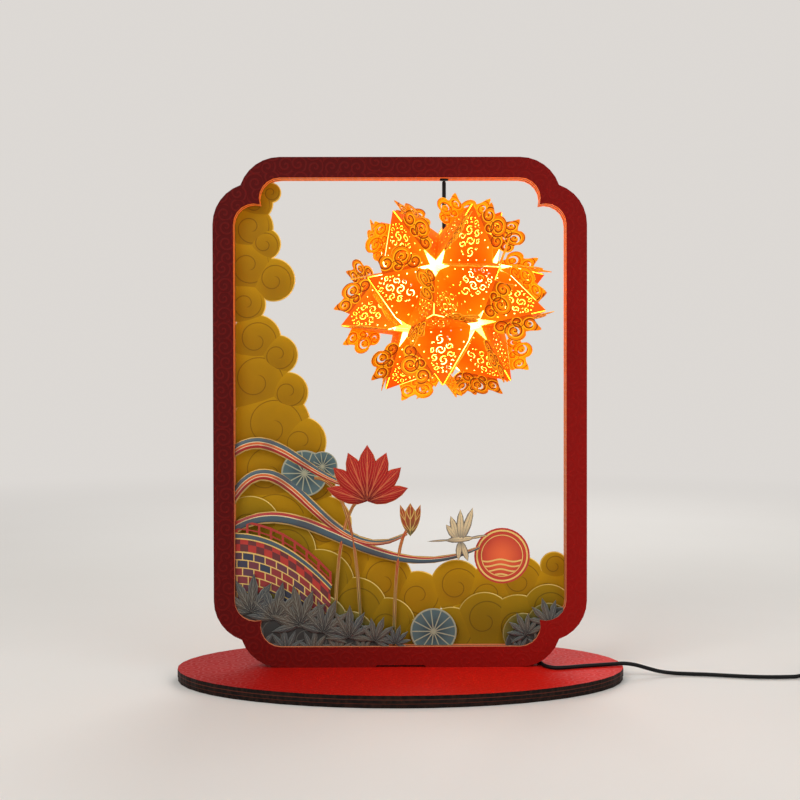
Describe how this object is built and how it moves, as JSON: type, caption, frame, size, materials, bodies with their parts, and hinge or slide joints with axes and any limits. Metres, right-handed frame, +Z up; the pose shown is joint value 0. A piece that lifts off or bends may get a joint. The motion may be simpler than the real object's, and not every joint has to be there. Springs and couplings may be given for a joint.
{
  "type": "paper sculpture lamp",
  "caption": "Layered paper-cut picture in a board frame with stepped corners on an oval base, with a folded paper ball lampshade hanging in its window",
  "frame": {"origin": "on the table, under the middle of the oval base", "axes": "+Z up, the picture faces -Y, +X to the viewer's right"},
  "size_m": [0.5594, 0.18, 0.405],
  "materials": {
    "red_board": "satin",
    "dark_board": "matte",
    "lamp_paper": "matte",
    "cloud_paper": "matte",
    "hill_paper": "matte",
    "slate_paper": "matte",
    "leaf_paper": "matte",
    "crimson_paper": "matte",
    "sun_paper": "matte",
    "cream_paper": "matte",
    "black_rubber": "satin",
    "black_plastic": "satin",
    "button_plastic": "satin",
    "frosted_glass": "satin",
    "plug_steel": "satin",
    "cap_brass": "satin"
  },
  "bodies": {
    "stand": {"base_foot_board": "dark_board", "base_middle_board": "dark_board", "base_top_board": "red_board", "frame_front_board": "red_board", "frame_spacer_front": "dark_board", "frame_core": "dark_board", "frame_spacer_back": "dark_board", "frame_back_board": "red_board", "sheet_clouds": "cloud_paper", "sheet_hills": "hill_paper", "sheet_streamers": "slate_paper", "sheet_leaves": "leaf_paper", "sun_disc": "sun_paper", "lotus_bloom": "crimson_paper", "arched_bridge": "sun_paper", "crane": "cream_paper", "internal_cable": "black_rubber", "cable_grommet": "black_rubber", "strain_relief": "black_rubber", "cord_lead": "black_rubber", "switch_body": "black_plastic", "cord_coil": "black_rubber", "cord_tie": "black_rubber", "plug_grip": "black_plastic", "plug_shell": "plug_steel"},
    "hanging_cable": {"hanging_cable": "black_rubber"},
    "lampholder": {"lampholder": "black_plastic", "bulb_cap": "cap_brass", "bulb_globe": "frosted_glass"},
    "paper_ball": {"ball_piece_01": "lamp_paper", "ball_piece_02": "lamp_paper", "ball_piece_03": "lamp_paper", "ball_piece_04": "lamp_paper", "ball_piece_05": "lamp_paper", "ball_piece_06": "lamp_paper", "ball_piece_07": "lamp_paper", "ball_piece_08": "lamp_paper", "ball_piece_09": "lamp_paper", "ball_piece_10": "lamp_paper", "ball_piece_11": "lamp_paper", "ball_piece_12": "lamp_paper", "ball_piece_13": "lamp_paper", "ball_piece_14": "lamp_paper", "ball_piece_15": "lamp_paper", "ball_piece_16": "lamp_paper", "ball_piece_17": "lamp_paper", "ball_piece_18": "lamp_paper", "ball_piece_19": "lamp_paper", "ball_piece_20": "lamp_paper", "ball_piece_21": "lamp_paper", "ball_piece_22": "lamp_paper", "ball_piece_23": "lamp_paper", "ball_piece_24": "lamp_paper", "ball_piece_25": "lamp_paper", "ball_piece_26": "lamp_paper", "ball_piece_27": "lamp_paper", "ball_piece_28": "lamp_paper", "ball_piece_29": "lamp_paper", "ball_piece_30": "lamp_paper"},
    "switch_button": {"switch_button": "button_plastic"}
  },
  "joints": [
    {"name": "swing_front_back", "type": "hinge", "parent": "stand", "child": "hanging_cable", "pos_m": [0.0345, 0, 0.3862], "axis": [1, 0, 0], "range_deg": [-20, 20]},
    {"name": "swing_side", "type": "hinge", "parent": "hanging_cable", "child": "lampholder", "pos_m": [0.0345, 0, 0.3462], "axis": [0, 1, 0], "range_deg": [-6, 6]},
    {"name": "ball_twist", "type": "hinge", "parent": "lampholder", "child": "paper_ball", "pos_m": [0.0345, 0, 0.295], "axis": [0, 0, 1], "continuous": true},
    {"name": "switch_press", "type": "slide", "parent": "stand", "child": "switch_button", "axis": [0, 0, -1], "range_m": [0, 0.0015], "stiffness_N_per_m": 400, "springref_m": -0.0006}
  ]
}
